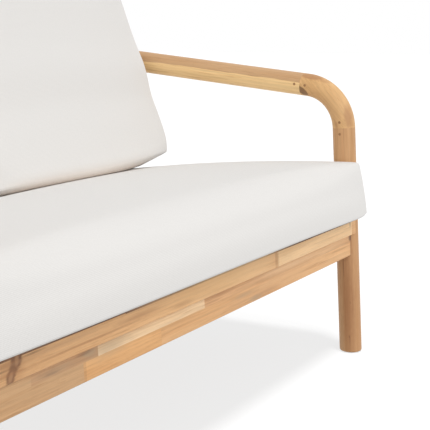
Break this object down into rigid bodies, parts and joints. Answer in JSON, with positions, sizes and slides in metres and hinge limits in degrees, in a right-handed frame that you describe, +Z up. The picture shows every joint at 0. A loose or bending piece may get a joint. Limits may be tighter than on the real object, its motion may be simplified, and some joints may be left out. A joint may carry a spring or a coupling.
{
  "type": "outdoor lounge seat",
  "caption": "Two-seat outdoor lounge seat with bent round-stock wooden side frames, a slatted deck and back, one long seat cushion and loose back cushions.",
  "frame": {"origin": "centre of the footprint, on the ground", "axes": "+X along the length of the seat, towards the left hand of a person sitting in it; +Y from the front edge towards the back; +Z up"},
  "size_m": [1.35, 0.8542, 0.8416],
  "materials": {
    "acacia": "satin",
    "cushion_fabric": "matte",
    "steel": "satin",
    "glide_plastic": "matte"
  },
  "bodies": {
    "frame": {"arm_left": "acacia", "arm_right": "acacia", "back_bottom_rail": "acacia", "back_dowels": "acacia", "back_post_left": "acacia", "back_post_right": "acacia", "back_slat_1": "acacia", "back_slat_2": "acacia", "back_slat_3": "acacia", "back_slat_4": "acacia", "back_slat_5": "acacia", "back_slat_6": "acacia", "back_slat_7": "acacia", "back_slat_8": "acacia", "back_slat_9": "acacia", "back_top_rail": "acacia", "barrel_nuts": "steel", "centre_bearer": "acacia", "foot_glides": "glide_plastic", "frame_bolts": "steel", "front_apron": "acacia", "front_elbow_left": "acacia", "front_elbow_right": "acacia", "front_leg_left": "acacia", "front_leg_right": "acacia", "front_top_rail": "acacia", "joint_dowels": "acacia", "joint_pins": "acacia", "rail_dowels": "acacia", "rear_elbow_left": "acacia", "rear_elbow_right": "acacia", "rear_leg_left": "acacia", "rear_leg_right": "acacia", "rear_rail": "acacia", "seat_slat_1": "acacia", "seat_slat_2": "acacia", "seat_slat_3": "acacia", "seat_slat_4": "acacia", "seat_slat_5": "acacia", "seat_slat_6": "acacia", "seat_slat_7": "acacia", "side_cleat_left": "acacia", "side_cleat_right": "acacia", "side_rail_left": "acacia", "side_rail_right": "acacia", "slat_screws": "steel"},
    "seat_cushion": {"seat_cushion": "cushion_fabric"},
    "back_cushion_left": {"back_cushion_left": "cushion_fabric"},
    "back_cushion_right": {"back_cushion_right": "cushion_fabric"}
  },
  "joints": [
    {"name": "seat_cushion_slide", "type": "slide", "parent": "frame", "child": "seat_cushion", "axis": [0, -0.9983, 0.0576], "range_m": [0, 0.25]},
    {"name": "back_cushion_left_lift", "type": "slide", "parent": "frame", "child": "back_cushion_left", "axis": [0, 0.3633, 0.9317], "range_m": [0, 0.3]},
    {"name": "back_cushion_right_lift", "type": "slide", "parent": "frame", "child": "back_cushion_right", "axis": [0, 0.3633, 0.9317], "range_m": [0, 0.3]}
  ]
}
